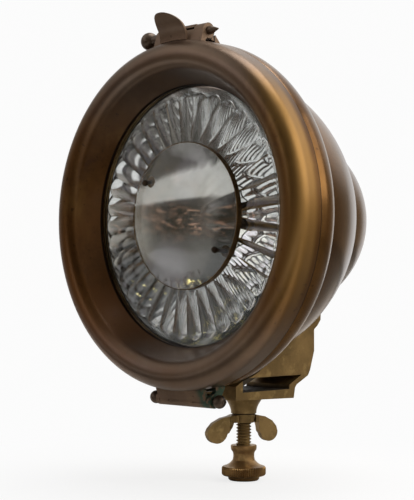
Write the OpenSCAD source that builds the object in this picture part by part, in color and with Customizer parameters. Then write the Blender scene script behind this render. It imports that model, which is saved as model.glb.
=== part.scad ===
// Brass motor headlamp with a hinged door, a ribbed front glass with a centre lens, and a clamp bracket.
// Millimetres. The origin is the centre of the bracket's socket, +Z is up and the lamp faces -Y.

/* [Placement] */
// Height of the socket's centre above the underside of the bezel
socket_rise = 2.3; // [2:0.1:8]
// From the plane of the glass lip back to the clamp screw
socket_back = 58.2; // [54:0.2:62]
// Thickness of the spun brass sheet
sheet_t = 1.4; // [1:0.1:1.8]

/* [Bezel] */
// Outer radius of the bezel
bezel_r = 123.3; // [120:0.1:128]
// Radius of the rolled front edge
roll_r = 11.1; // [9.5:0.1:12]
// How far the roll stands forward of the lip
roll_front = 23.2; // [21:0.1:26]
// Width of the cove between the bezel's inner wall and the lip
cove_w = 8.1; // [7:0.1:9]
// Gap between the bezel and the body
seam_gap = 0.5; // [0.4:0.1:0.8]

/* [Body] */
// Step from the bezel down to the body's mouth
mouth_step = 1; // [0.8:0.1:2]
// Length of the front band
band_len = 21; // [18:0.5:24]
// How much the front band narrows towards its rear
band_taper = 5.7; // [5:0.1:7]
// Outward bulge of the front band
band_bulge = 3.2; // [2:0.1:4]
// Step from the front band in to the middle shell
band_step = 8.6; // [6:0.1:9]
// Length of the middle shell
middle_len = 61.2; // [56:0.1:66]
// How much the middle shell narrows towards its rear
middle_taper = 21; // [19:0.1:23]
// Outward bulge of the middle shell
middle_bulge = 5.6; // [4:0.1:7]
// Step from the middle shell in to the rear dome
middle_step = 14.6; // [12:0.1:16]
// Length of the rear dome
dome_len = 82; // [74:0.5:88]
// Overlap where one shell slips into the next
sleeve_len = 5; // [4:0.5:7]

/* [Glass and lens] */
// Thickness of the front glass at its rim
glass_t = 2.5; // [2:0.1:3]
// Number of ribs pressed in the front glass
rib_n = 36; // [30:1:40]
// Height of the ribs above the glass's rim
rib_rise = 2.4; // [1.6:0.1:3]
// Distance of the ribs' round ends from the lip
rib_margin = 4.5; // [3.5:0.1:6]
// Length of the ribs' inner ends under the lens
rib_under = 6; // [5:0.1:7]
// Thickness of the glass seal
seal_t = 0.8; // [0.6:0.1:1]
// Radius of the bull's-eye lens
lens_r = 52; // [50:0.5:54]
// Thickness of the lens at its edge
lens_edge = 4.3; // [4:0.1:6]
// Rise of the lens from its edge to its middle
lens_crown = 9.5; // [8:0.5:12]
// Radial width of the lens rim
rim_w = 1.3; // [1.1:0.1:2]
// Distance of the lens screws from the axis
lens_screw_at = 43; // [40:0.5:45]
// Radius of a lens screw
lens_screw_r = 1.5; // [1.2:0.1:1.8]

/* [Reflector] */
// Distance of the bowl's edge inside the lip
bowl_margin = 1; // [0.5:0.1:3]
// Depth of the bowl
bowl_depth = 62; // [56:0.5:66]
// Width of the reflector's flat rim
reflector_rim = 20; // [18:0.5:21]
// Sheet of the reflector measured along the axis
reflector_t = 1.6; // [1.2:0.1:2]

/* [Bulb] */
// Radius of the bulb's cap
cap_r = 7.5; // [7:0.1:8]
// Wall of the bulb holder
holder_wall = 1.4; // [1:0.1:1.8]
// Wall of the neck that carries the holder
neck_wall = 1.6; // [1.2:0.1:2]
// Length of the neck behind its flange
neck_len = 26; // [22:0.5:30]
// Length of the neck in front of its flange
neck_front = 8; // [7:0.5:9]
// Width of the neck's flange
flange_w = 9; // [7:0.5:10]
// Radius of the bulb's glass
bulb_r = 16; // [14:0.5:18]
// Radius of the hole in the cable ferrule
cable_r = 4; // [3.5:0.1:4.5]

/* [Hinge] */
// Centre of the hinge pin below the bezel
hinge_drop = 6.6; // [6.2:0.1:8]
// Radius of the hinge pin
hinge_pin_r = 2.5; // [2:0.1:3]
// Radius of the rolled hinge knuckle
hinge_knuckle_r = 5; // [4.4:0.1:5.4]
// Width of the door's hinge leaf
hinge_leaf_w = 46.6; // [42:0.2:52]
// Width of each ear on the body's hinge leaf
ear_w = 3.4; // [3:0.1:5]
// Radius of the hinge pin's ball ends
hinge_ball_r = 4.75; // [4.4:0.05:5.2]

/* [Latch] */
// Centre of the latch pin above the bezel
latch_rise = 5.1; // [5:0.1:6]
// Radius of the latch pin
latch_pin_r = 2.9; // [2.6:0.1:3.1]
// Outer radius of the latch knuckles
latch_knuckle_r = 5.5; // [5.3:0.1:6]
// Width of the door's latch leaf
latch_leaf_w = 48; // [45:0.5:52]
// Distance of the latch's middle from the lamp's middle
latch_x = 2.5; // [0:0.5:4]
// Width of the catch between the door's knuckles
catch_w = 28; // [24:0.5:30]
// Radius of the latch pin's ball
latch_ball_r = 6.5; // [6:0.1:7.5]
// Length of the latch pin's point beyond the knuckle
latch_point = 9; // [8:0.5:12]
// Width of the thumb tab
tab_w = 26; // [22:0.2:28]
// Height of the thumb tab
tab_h = 18; // [17:0.5:22]
// How far the thumb tab curls forward
tab_curl = 13.5; // [10:0.5:20]
// Thickness of the thumb tab
tab_t = 1.6; // [1.2:0.1:2]

/* [Bracket] */
// Width of the bracket across the lamp
bracket_w = 43.4; // [40:0.2:50]
// Length of the slot's floor
slot_len = 50.2; // [46:0.2:54]
// Height of the slot
slot_h = 9.8; // [9:0.1:12]
// Thickness of the slot's floor
floor_t = 7.1; // [6:0.1:9]
// How much thinner the floor is at its front end
floor_slope = 1.6; // [0.5:0.1:2.5]
// Width of the saddle across the lamp
saddle_w = 50; // [46:0.5:58]
// Thickness of the saddle at its rear end
saddle_t = 12.5; // [11:0.5:14]
// Height of the boss under the socket
boss_h = 10.4; // [9:0.1:13]
// Radius of the boss at its lower end
boss_r = 9.4; // [8.5:0.1:10]
// Radius of the boss at its upper end
boss_top_r = 13.7; // [11.5:0.1:14]

/* [Clamp screw] */
// Radius of the clamp screw
screw_r = 5.6; // [5:0.1:6.2]
// Free thread between the wing nut and the knob
free_thread = 16.6; // [15:0.1:20]
// Radius of the thrust pad
pad_r = 9; // [8:0.1:9.5]
// Thickness of the thrust pad
pad_t = 3; // [2.5:0.1:4]
// Thickness of the lock washer
washer_t = 0.8; // [0.6:0.1:1.2]
// Radius of the wing nut's hub, before it narrows downwards
nut_r = 9.6; // [8.8:0.1:10.5]
// Height of the wing nut's hub
nut_h = 6; // [5:0.1:8]
// Reach of each wing from the screw
wing_reach = 31; // [28:0.5:33]
// Drop of the wings below the top of the nut
wing_drop = 21; // [18:0.5:22]
// Thickness of a wing
wing_t = 4.6; // [3.6:0.1:6]
// Radius of the knob's collar
collar_r = 9.6; // [8.8:0.1:10.5]
// Radius of the knob's neck
knob_neck_r = 7.8; // [7.2:0.1:8.6]
// Radius of the knurled drum
knob_r = 16.3; // [15:0.1:18]
// Height of the knob
knob_h = 25.8; // [23:0.1:29]

/* [Hidden] */
$fn = 96;

// Clearances
seat = 0.05; // between pieces that are fixed together
run = 0.06; // radial clearance of a turning or sliding pin
air = 0.35; // between pieces that move past each other
over = 1; // cuts run this far past a face
arc_steps = 12;

// Distances along the lamp's axis, from the lip plane
roll_y = roll_r - roll_front;
seal_y = sheet_t + 0.02;
glass_y = seal_y + seal_t;
glass_back = glass_y + glass_t;
rib_y = glass_y - rib_rise;
retainer_t = 0.9;
door_back = glass_back + retainer_t;
bowl_y = door_back + 0.6;
ring_y = bowl_y + reflector_t;
middle_y = band_len;
dome_y = band_len + middle_len;
rear_y = dome_y + dome_len;
turn_in = 0.5; // how far a shell's turned-in end stands behind the step

// Radii that other pieces share
axis_h = bezel_r - socket_rise;
inner_wall_r = bezel_r - 2 * roll_r;
lip_r = inner_wall_r - cove_w;
mouth_r = bezel_r - mouth_step;
band_end_r = mouth_r - band_taper;
middle_r = band_end_r - band_step;
middle_end_r = middle_r - middle_taper;
dome_r = middle_end_r - middle_step;
bowl_r = lip_r - bowl_margin;
reflector_r = bowl_r + reflector_rim;
glass_r = inner_wall_r - 3;
retainer_r = glass_r + 0.4;
holder_r = cap_r + 0.2 + holder_wall;
neck_r = holder_r + run + neck_wall;
bowl_hole_r = neck_r + 0.5;
neck_y = bowl_y + bowl_depth + reflector_t;
holder_back = neck_y + neck_len + 4;

// Heights in the lamp's own frame, whose z is 0 on the axis
hinge_z = -bezel_r - hinge_drop;
hinge_y = -seam_gap;
latch_z = bezel_r + latch_rise;
latch_y = -latch_knuckle_r;
ear_x = hinge_leaf_w / 2 + air;

// The bracket, down from the slot's centre
slot_top = slot_h / 2;
slot_bottom = -slot_h / 2;
bracket_bottom = slot_bottom - floor_t;
boss_bottom = bracket_bottom - boss_h;
washer_top = boss_bottom - 0.02;
nut_top = washer_top - washer_t - 0.02;
nut_bottom = nut_top - nut_h;
knob_top = nut_bottom - free_thread;
knob_bottom = knob_top - knob_h;
screw_top = slot_bottom - pad_t;
wing_angle = 70.9;
lens_screw_angle = 144.5;

// Where the bracket's parts lie along the lamp, from the clamp screw
slot_front = -24;
slot_back = slot_front + slot_len;
bracket_front = -31.4;
bracket_back = 31.5;

// Outer radius of the closed body at a distance y behind the lip plane
function band_r(y) = let (u = y / band_len) mouth_r + (band_end_r - mouth_r) * u + 4 * band_bulge * u * (1 - u);
function shell_r(y) = let (u = (y - middle_y) / middle_len)
    middle_r + (middle_end_r - middle_r) * u + 4 * middle_bulge * u * (1 - u);
function round_r(y) = let (u = (y - dome_y) / dome_len) dome_r * sqrt(max(0, 1 - u * u));
function body_r(y) = y < middle_y ? band_r(y) : y < dome_y ? shell_r(y) : round_r(y);
function steps(a, b, n) = [for (i = [0:n]) a + (b - a) * i / n];
function arc(c, r, a, b, n = arc_steps) = [for (t = steps(a, b, n)) c + r * [cos(t), sin(t)]];
function reversed(list) = [for (i = [len(list) - 1:-1:0]) list[i]];
function moved(list, d) = [for (p = list) p + d];

// Places what is drawn round the lamp's axis
module at_lamp() {
    translate([0, -socket_back, axis_h])
        children();
}

// Turns a profile of [radius, distance back] round the lamp's axis
module spun(points) {
    rotate([-90, 0, 0])
        rotate_extrude($fn = 180)
            polygon(points);
}

// A shape drawn in [y, z] and centred across the lamp
module across(width) {
    rotate([90, 0, 90])
        linear_extrude(width, center = true)
            children();
}

// A rod along the lamp's axis
module rod(r, from, to) {
    translate([0, from, 0])
        rotate([-90, 0, 0])
            cylinder(r = r, h = to - from);
}

// A rod across the lamp
module cross_rod(r, from, to) {
    translate([from, 0, 0])
        rotate([0, 90, 0])
            cylinder(r = r, h = to - from);
}

// Turns a profile of [radius, place along X] round an axis across the lamp
module turned_across(points) {
    rotate([0, 90, 0])
        rotate_extrude()
            polygon(points);
}

// Half a ball's outline from its pole to where it meets a neck
function ball_outline(r, neck) = [for (t = steps(0, 180 - asin(neck / r), 16)) [r * sin(t), -r * cos(t)]];
function mirrored(list) = [for (p = reversed(list)) [p[0], -p[1]]];

// The lamp's closed outer form, grown by a clearance
module body_form(grow) {
    skin = concat([for (y = steps(0, middle_y, 6)) [band_r(y) + grow, y]],
        [for (y = steps(middle_y + turn_in + grow, dome_y, 8)) [shell_r(y) + grow, y]],
        [for (y = steps(dome_y + turn_in + grow, rear_y, 14)) [round_r(y) + grow, y]]);
    spun(concat([[0, 0]], skin, [[0, rear_y + grow]]));
}

// The bezel: a side band, the front roll, the inner wall and the cove down to the lip
cove_end = 80;
cove_r = (inner_wall_r - lip_r) / (1 - cos(cove_end));
cove_y = -cove_r * sin(cove_end);
roll_at = [bezel_r - roll_r, roll_y];
cove_at = [inner_wall_r - cove_r, cove_y];
function bezel_path(d) = concat(
    [[bezel_r - d, -seam_gap]],
    arc(roll_at, roll_r - d, 0, -180, 24),
    arc(cove_at, cove_r + d, 0, cove_end, 10)
);

module bezel() {
    color("#5a4636")
        at_lamp()
            spun(concat(bezel_path(0), reversed(bezel_path(sheet_t))));
}

// Glass, seal and the ring that holds them in the bezel
module glass_seal() {
    color("#1c1b1a")
        at_lamp()
            spun([[lip_r + 1.2, seal_y], [glass_r, seal_y], [glass_r, glass_y], [lip_r + 1.2, glass_y]]);
}

// Holes for the two lens screws
module lens_screw_places() {
    for (side = [0, 180])
        rotate([0, -lens_screw_angle - side, 0])
            translate([lens_screw_at, 0, 0])
                children();
}

// Front glass: ribs pressed in its face run from under the lens to round ends inside the lip
across_rib = 6;
around = rib_n * across_rib;
rib_in_r = lens_r - rib_under;
rib_round = 5;
rib_turn = 12;
function off_crest(i) = let (u = (i % across_rib) / across_rib - 0.5) 4 * u * u;
function rib_end(i) = lip_r - rib_margin - 4 * off_crest(i);
function valley(r) = pow(max(0, (r - rib_in_r) / (lip_r - rib_margin - rib_in_r)), 0.7);
function rib_point(r, y, i) = let (a = 90 - rib_turn - 360 * i / around) [r * cos(a), y, r * sin(a)];
function plain_loop(r, y) = [for (i = [0:around - 1]) rib_point(r, y, i)];
function rib_loop(t, q) = [for (i = [0:around - 1])
    let (straight = rib_end(i) - rib_round, r = rib_in_r + (straight - rib_in_r) * t + rib_round * q)
    rib_point(r, glass_y - rib_rise * (1 - valley(r) * off_crest(i)) * sqrt(1 - q * q), i)];

module front_glass() {
    loops = concat([for (t = steps(0, 1, 6)) rib_loop(t, 0)], [for (q = [0.4, 0.7, 0.9, 1]) rib_loop(1, q)],
        [plain_loop(glass_r, glass_y), plain_loop(glass_r, glass_back)]);
    total = len(loops);
    color("#cfd8d8", 0.3)
        at_lamp()
            difference() {
                polyhedron(
                    points = [for (loop = loops, p = loop) p],
                    faces = concat(
                        [for (j = [0:total - 2], i = [0:around - 1])
                            let (a = j * around + i,
                                b = j * around + (i + 1) % around,
                                c = a + around,
                                d = b + around)
                            each [[a, c, b], [b, c, d]]],
                        [[for (i = [0:around - 1]) i]],
                        [[for (i = [around - 1:-1:0]) (total - 1) * around + i]]));
                lens_screw_places()
                    rod(lens_screw_r + seat, rib_y - over, glass_back + over);
            }
}

module glass_retainer() {
    foot_r = bezel_r - sheet_t - seat;
    web_y = -0.4;
    bend = 0.6;
    color("#6a5238")
        at_lamp()
            spun([[foot_r, roll_y + 2], [foot_r, web_y], [retainer_r + retainer_t, web_y],
                [retainer_r + retainer_t, door_back], [lip_r + 1.6, door_back], [lip_r + 1.6, glass_back],
                [retainer_r, glass_back], [retainer_r, web_y - retainer_t + bend],
                [retainer_r + bend, web_y - retainer_t], [foot_r - retainer_t, web_y - retainer_t],
                [foot_r - retainer_t, roll_y + 2]]);
}

// Bull's-eye lens in the middle of the glass
lens_face = rib_y - lens_edge;
lens_ball_r = (lens_r * lens_r + lens_crown * lens_crown) / (2 * lens_crown);
lens_half_angle = asin(lens_r / lens_ball_r);
lens_seat_y = lens_face + lens_ball_r - lens_crown - sqrt(pow(lens_ball_r, 2) - pow(lens_screw_at, 2));

module center_lens() {
    color("#b9b2ae", 0.35)
        at_lamp()
            difference() {
                spun(concat([[0, rib_y], [lens_r, rib_y]],
                    [for (a = steps(lens_half_angle, 0, 14))
                        [lens_ball_r * sin(a), lens_face - lens_crown + lens_ball_r * (1 - cos(a))]]));
                lens_screw_places()
                    rod(lens_screw_r + seat, lens_face - lens_crown, rib_y + over);
            }
}

module lens_rim() {
    inner = lens_r + seat;
    front = lens_face - 0.9;
    color("#8c6f45")
        at_lamp()
            spun([[inner, rib_y], [inner + rim_w, rib_y], [inner + rim_w, front + 0.5],
                [inner + rim_w - 0.5, front], [inner - 0.6, front], [inner - 0.6, lens_face - 0.3],
                [inner, lens_face - 0.3]]);
}

module lens_screws() {
    color("#4b3b2c")
        at_lamp()
            lens_screw_places() {
                rod(lens_screw_r, lens_seat_y - 1.2, glass_back + 2.6);
                difference() {
                    translate([0, lens_seat_y - 1.1, 0])
                        sphere(r = lens_screw_r + 0.9);
                    rod(lens_screw_r + 2, lens_seat_y - 0.9, lens_seat_y + 4);
                }
            }
}

module lens_nuts() {
    color("#8c6f45")
        at_lamp()
            lens_screw_places()
                difference() {
                    union() {
                        rod(4, glass_back, glass_back + 0.6);
                        rod(2.9, glass_back + 0.6, glass_back + 2.2);
                    }
                    rod(lens_screw_r + seat, glass_back - over, glass_back + 3);
                }
}

// Hinge: the door's leaf rolls under the pin, the body's leaf holds it by two ears
module door_hinge_leaf() {
    tongue_t = 2;
    color("#4d3d31")
        at_lamp()
            difference() {
                across(hinge_leaf_w) {
                    difference() {
                        union() {
                            translate([hinge_y, hinge_z])
                                circle(hinge_knuckle_r);
                            polygon([[hinge_y - hinge_knuckle_r - 3.4, hinge_z + 13],
                                [hinge_y - hinge_knuckle_r - 3.4, hinge_z + 6.5],
                                [hinge_y - hinge_knuckle_r, hinge_z],
                                [hinge_y - hinge_knuckle_r + tongue_t, hinge_z],
                                [hinge_y - hinge_knuckle_r + tongue_t - 1, hinge_z + 5],
                                [hinge_y - hinge_knuckle_r + tongue_t - 3, hinge_z + 13]]);
                        }
                        translate([hinge_y, hinge_z])
                            circle(hinge_pin_r + run);
                    }
                }
                rod(bezel_r + seat, -roll_front, over);
                for (slot = [[-14.4, 11], [10.1, 10.5]])
                    translate([slot[0], hinge_y - hinge_knuckle_r - 0.4, hinge_z - 1.6])
                        cube([slot[1], 1.1, 1]);
            }
}

module body_hinge_leaf() {
    plate_t = 1.8;
    plate_y = 2.4;
    plate_end = 10;
    half = ear_x + ear_w;
    color("#4c4a3a")
        at_lamp() {
            difference() {
                intersection() {
                    body_form(seat + plate_t);
                    translate([-half, plate_y, -bezel_r - 12])
                        cube([2 * half, plate_end - plate_y, bezel_r / 4]);
                }
                body_form(seat);
            }
            for (side = [-1, 1])
                difference() {
                    translate([side * (ear_x + ear_w / 2), 0, 0])
                        across(ear_w)
                            union() {
                                translate([hinge_y, hinge_z])
                                    circle(hinge_knuckle_r);
                                polygon([[hinge_y - 1, hinge_z + hinge_knuckle_r - 0.4],
                                    [hinge_y + hinge_knuckle_r, hinge_z],
                                    [plate_end, hinge_z + 9],
                                    [plate_end, hinge_z + 14],
                                    [0.6, hinge_z + 14],
                                    [0.6, hinge_z + 6.5]]);
                            }
                    body_form(seat);
                    rod(bezel_r + air, -roll_front, 0.4);
                    translate([0, hinge_y, hinge_z])
                        cross_rod(hinge_pin_r + 0.02, -half - over, half + over);
                }
        }
}

module hinge_pin() {
    ball_x = ear_x + ear_w - 0.2 + hinge_ball_r;
    nub_r = 1.8;
    ball = ball_outline(hinge_ball_r, hinge_pin_r);
    far_ball = [for (p = mirrored(ball)) if (p[0] > nub_r || p[1] < 0) p];
    color("#3c3128")
        at_lamp()
            translate([0, hinge_y, hinge_z])
                turned_across(concat(moved(ball, [0, -ball_x]), moved(far_ball, [0, ball_x]),
                    [[nub_r, ball_x + hinge_ball_r * cos(asin(nub_r / hinge_ball_r))],
                        [nub_r, ball_x + hinge_ball_r + 0.35], [0, ball_x + hinge_ball_r + 0.35]]));
}

// Latch: two knuckles on the door carry the pin, the catch on the body hooks over it between them
leaf_foot = -13.2;

module door_latch_leaf() {
    half = latch_leaf_w / 2;
    inner = catch_w / 2 + air;
    color("#4d3d31")
        at_lamp()
            difference() {
                translate([latch_x, 0, 0]) {
                    for (side = [-1, 1])
                        translate([side * (half + inner) / 2, 0, 0])
                            across(half - inner) {
                                translate([latch_y, latch_z])
                                    circle(latch_knuckle_r);
                                polygon([[leaf_foot, latch_z - 12], [leaf_foot, latch_z - 7.2],
                                    [latch_y - latch_knuckle_r, latch_z + 0.6], [latch_y, latch_z],
                                    [latch_y - 1.2, latch_z - 4.6], [leaf_foot + 4, latch_z - 7.4],
                                    [leaf_foot + 4, latch_z - 12]]);
                            }
                    across(2 * inner + 0.2)
                        polygon([[leaf_foot, latch_z - 12], [leaf_foot, latch_z - 7.2],
                            [latch_y - latch_knuckle_r, latch_z + 0.6],
                            [latch_y - latch_knuckle_r + 0.4, latch_z + 1.5],
                            [latch_y - latch_knuckle_r + 1.9, latch_z + 1.5],
                            [latch_y - latch_knuckle_r + 1.9, latch_z - 12]]);
                }
                rod(bezel_r + seat, -roll_front, over);
                translate([0, latch_y, latch_z])
                    cross_rod(latch_pin_r + run, -latch_leaf_w, latch_leaf_w);
            }
}

module body_latch_leaf() {
    gap = latch_pin_r + 0.3;
    lip_t = latch_knuckle_r - gap;
    foot_y = 0.4;
    foot_t = 5;
    foot = [[foot_y + foot_t, latch_z - 7.5], [foot_y + foot_t, latch_z - 14], [foot_y, latch_z - 14],
        [foot_y, latch_z - 7.5]];
    color("#5b4638")
        at_lamp()
            difference() {
                translate([latch_x, 0, 0]) {
                    across(catch_w)
                        difference() {
                            union() {
                                translate([latch_y, latch_z])
                                    circle(latch_knuckle_r);
                                translate([latch_y - latch_pin_r + 0.6, latch_z + gap])
                                    square([latch_pin_r, lip_t]);
                                translate([latch_y - latch_pin_r + 0.6, latch_z + gap + lip_t / 2])
                                    circle(lip_t / 2);
                                polygon(concat([[latch_y + 0.5, latch_z - 5.2], [latch_y + 5.2, latch_z - 0.8]], foot));
                            }
                            translate([latch_y, latch_z])
                                circle(gap);
                            translate([latch_y - 12, latch_z - 8])
                                square([12, 8 + gap]);
                        }
                    across(latch_leaf_w)
                        difference() {
                            polygon(concat([[latch_y + 2, latch_z - 6], [latch_y + 6.4, latch_z - 2.6]], foot));
                            translate([latch_y, latch_z])
                                circle(latch_knuckle_r + air);
                        }
                }
                rod(bezel_r + 0.9, -roll_front, 0.3);
                body_form(seat);
            }
}

module thumb_tab() {
    base_y = leaf_foot - seat - tab_t;
    rise = tab_h + 1;
    side = tab_w / 2;
    crown = side * 0.8;
    curl = [for (u = steps(0, 1, 12)) [base_y - tab_curl * pow(u, 2.5), bezel_r - 1 + rise * u]];
    tongue = [for (a = steps(0, 180, 24))
        [side * sign(cos(a)) * pow(abs(cos(a)), 0.9), bezel_r + tab_h - crown + crown * pow(sin(a), 0.9)]];
    color("#4d3d31")
        at_lamp()
            difference() {
                intersection() {
                    across(2 * tab_w)
                        polygon(concat(curl, reversed(moved(curl, [tab_t, 0]))));
                    translate([0, base_y + 4, 0])
                        rotate([90, 0, 0])
                            linear_extrude(bezel_r / 4)
                                polygon(concat(tongue, [[-side, bezel_r - 3], [side, bezel_r - 3]]));
                }
                rod(bezel_r + seat, -2 * roll_front, over);
            }
}

module latch_pin() {
    left = latch_x - latch_leaf_w / 2;
    right = latch_x + latch_leaf_w / 2;
    collar_end = left - 0.3;
    collar = latch_pin_r + 0.9;
    ball_x = left - latch_ball_r - 6;
    tip_len = 6.5;
    color("#3f332a")
        at_lamp()
            translate([0, latch_y, latch_z])
                turned_across(concat(moved(ball_outline(latch_ball_r, collar), [0, ball_x]),
                    [[collar, collar_end], [latch_pin_r, collar_end], [latch_pin_r, right + latch_point - tip_len],
                        [0.5, right + latch_point], [0, right + latch_point]]));
}

// Body shells: each slips into the one in front, whose end is turned in to meet it
module front_band() {
    ys = steps(0, band_len, 8);
    color("#564337")
        at_lamp()
            spun(concat([for (y = ys) [band_r(y), y]],
                [[middle_r + seat, band_len + turn_in], [middle_r + seat, band_len - 0.9]],
                reversed([for (y = steps(0, band_len - 0.9, 8)) [band_r(y) - sheet_t, y]])));
}

// Where the saddle rivets go through shell, saddle and bracket
rivet_x = 13;
rivet_ys = [-4, 36];
rivet_r = 2.4;
rivet_grip = 5.5; // how far a rivet reaches into the bracket

// Distance of the shell's outer skin below the axis where a rivet goes through
function shell_floor(y) = sqrt(pow(body_r(socket_back + y), 2) - rivet_x * rivet_x);

module rivet_places() {
    for (x = [-rivet_x, rivet_x], y = rivet_ys)
        let ($rivet_len = rivet_grip - shell_floor(y) - lookup(y, saddle_low))
            translate([x, socket_back + y, -shell_floor(y)])
                children();
}

module rivet_holes() {
    rivet_places()
        translate([0, 0, -$rivet_len - seat])
            cylinder(r = rivet_r + seat, h = $rivet_len + 20);
}

module middle_shell() {
    ys = steps(middle_y, dome_y, 12);
    color("#503d31")
        at_lamp()
            difference() {
                spun(concat([[middle_r, middle_y - sleeve_len]], [for (y = ys) [shell_r(y), y]],
                    [[dome_r + seat, dome_y + turn_in], [dome_r + seat, dome_y - 0.9]],
                    reversed([for (y = steps(middle_y, dome_y - 0.9, 12)) [shell_r(y) - sheet_t, y]]),
                    [[middle_r - sheet_t, middle_y - sleeve_len]]));
                rivet_holes();
            }
}

module rear_dome() {
    ys = steps(dome_y, rear_y - 0.02, 24);
    function inner(y) = (dome_r - sheet_t) * sqrt(max(0, 1 - pow((y - dome_y) / (dome_len - sheet_t), 2)));
    color("#4d3b30")
        at_lamp()
            difference() {
                spun(concat([[dome_r, dome_y - sleeve_len]], [for (y = ys) [round_r(y), y]], [[0, rear_y]],
                    [[0, rear_y - sheet_t]],
                    reversed([for (y = steps(dome_y, rear_y - sheet_t - 0.02, 24)) [inner(y), y]]),
                    [[dome_r - sheet_t, dome_y - sleeve_len]]));
                rod(ferrule_r + seat, rear_y - 20, rear_y + over);
                rivet_holes();
            }
}

module mouth_ring() {
    depth = 7;
    ring_t = 1.4;
    ys = steps(ring_y, ring_y + depth, 6);
    color("#6a5238")
        at_lamp()
            difference() {
                spun(concat([for (y = ys) [band_r(y) - sheet_t - seat, y]],
                    reversed([for (y = steps(ring_y + ring_t, ring_y + depth, 6))
                        [band_r(y) - sheet_t - seat - ring_t, y]]),
                    [[reflector_r - 6, ring_y + ring_t], [reflector_r - 6, ring_y]]));
                reflector_screw_places()
                    rod(reflector_screw_r + seat, ring_y - over, ring_y + depth);
            }
}

// Reflector: a parabolic bowl with a flat rim
function bowl_at(r) = bowl_y + bowl_depth * (1 - pow(r / bowl_r, 2));

module reflector() {
    rs = steps(bowl_hole_r, bowl_r, 20);
    color("#c9ccd0")
        at_lamp()
            difference() {
                spun(concat([for (r = rs) [r, bowl_at(r)]],
                    [[reflector_r, bowl_y], [reflector_r, ring_y]],
                    reversed([for (r = rs) [r, bowl_at(r) + reflector_t]])));
                reflector_screw_places()
                    rod(reflector_screw_r + seat, bowl_y - over, ring_y + over);
            }
}

reflector_screw_r = 1.6;

module reflector_screw_places() {
    for (turn = [90, 210, 330])
        rotate([0, -turn, 0])
            translate([reflector_r - 3.5, 0, 0])
                children();
}

module reflector_screws() {
    color("#8c6f45")
        at_lamp()
            reflector_screw_places() {
                rod(reflector_screw_r, bowl_y - 1.2, ring_y + 4);
                rod(reflector_screw_r + 1.3, bowl_y - 1.4, bowl_y - 0.02);
            }
}

// Neck behind the bowl, with the bulb and its holder
module reflector_neck() {
    color("#8c6f45")
        at_lamp()
            difference() {
                union() {
                    rod(neck_r + flange_w, neck_y, neck_y + neck_wall);
                    rod(neck_r, neck_y - neck_front, neck_y + neck_len);
                }
                rod(holder_r + run, neck_y - neck_front - over, neck_y + neck_len + over);
                translate([0, screw_y, 0])
                    cylinder(r = holder_screw_r + seat, h = 2 * neck_r);
            }
}

holder_screw_r = 1.8;
screw_y = neck_y + neck_len * 0.77;

module holder_screw() {
    color("#8c6f45")
        at_lamp()
            translate([0, screw_y, 0]) {
                translate([0, 0, holder_r + 0.02])
                    cylinder(r = holder_screw_r, h = 8);
                translate([0, 0, holder_r + 5])
                    cylinder(r = holder_screw_r + 1.6, h = 3);
            }
}

module bulb_holder() {
    color("#9a7a4a")
        at_lamp()
            difference() {
                rod(holder_r, neck_y - 1.5 * neck_front, holder_back);
                rod(cap_r + 0.2, neck_y - 1.5 * neck_front - over, holder_back - 1.5);
                for (x = contact_xs)
                    translate([x, 0, 0])
                        rod(contact_r + 0.8, holder_back - 3, holder_back + over);
            }
}

contact_xs = [-3, 3];
contact_r = 1.2;
insulator_y = holder_back - 9;

module holder_insulator() {
    color("#3a2a20")
        at_lamp()
            difference() {
                rod(cap_r + 0.15, insulator_y, holder_back - 1.55);
                for (x = contact_xs)
                    translate([x, 0, 0])
                        rod(contact_r + seat, insulator_y - over, holder_back);
            }
}

module holder_contacts() {
    color("#a98b52")
        at_lamp()
            for (x = contact_xs)
                translate([x, 0, 0])
                    rod(contact_r, insulator_y - 2, holder_back + 3);
}

cap_back = insulator_y - 2.05;
cap_front = cap_back - 18;
bulb_y = bowl_y + bowl_depth - bowl_r * bowl_r / (4 * bowl_depth);

module bulb_cap() {
    color("#a98b52")
        at_lamp()
            difference() {
                rod(cap_r, cap_front, cap_back);
                rod(cap_r - 0.8, cap_front - over, cap_back - 2);
            }
}

module bulb_glass() {
    neck = cap_r - 0.85;
    tail = sqrt(bulb_r * bulb_r - neck * neck);
    start = asin(neck / bulb_r);
    glass_wall = 0.7;
    color("#dfe4e4", 0.3)
        at_lamp()
            spun(concat(
                [for (a = steps(180, start, 24)) [bulb_r * sin(a), bulb_y + bulb_r * cos(a)]],
                [[neck, cap_front + 6], [neck - glass_wall, cap_front + 6]],
                [for (a = steps(start, 180, 24))
                    [max(0, bulb_r * sin(a) - glass_wall * min(1, 3 * sin(a))),
                        bulb_y + (bulb_r - glass_wall) * cos(a)]]));
}

module bulb_stem() {
    color("#b8bcbc")
        at_lamp() {
            difference() {
                rod(cap_r - 1.6, cap_front + 1, cap_front + 7);
                rod(0.5, cap_front, cap_front + 2);
            }
            for (side = [-1, 1])
                translate([side * 2.5, 0, 0])
                    rod(0.4, bulb_y, cap_front + 1.5);
            translate([0, bulb_y, 0])
                cross_rod(0.7, -3, 3);
        }
}

// Ferrule for the cable in the back of the dome
ferrule_r = 7;

module cable_ferrule() {
    color("#7a6038")
        at_lamp()
            difference() {
                union() {
                    rod(ferrule_r, rear_y - 6, rear_y + 8);
                    rod(ferrule_r + 3, rear_y + 0.1, rear_y + 2);
                }
                rod(cable_r, rear_y - 7, rear_y + 9);
            }
}

// Saddle and bracket, drawn in [distance behind the clamp screw, height above the axis]
function under(y) = -body_r(socket_back + y);
saddle_depths = [[-16, 6.3], [-3.7, 5.9], [10.5, 6.1], [27.2, saddle_t + 13.2], [31.6, saddle_t + 11.1],
    [32.2, saddle_t + 9.2], [42.3, saddle_t + 4.8], [52, saddle_t + 1.3], [55.3, saddle_t]];
saddle_low = [for (p = saddle_depths) [p[0], under(p[0]) - p[1]]];
saddle_tip = [[58.9, under(58.9) - saddle_t + 2.7], [59.8, under(59.8) + 3]];

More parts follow.
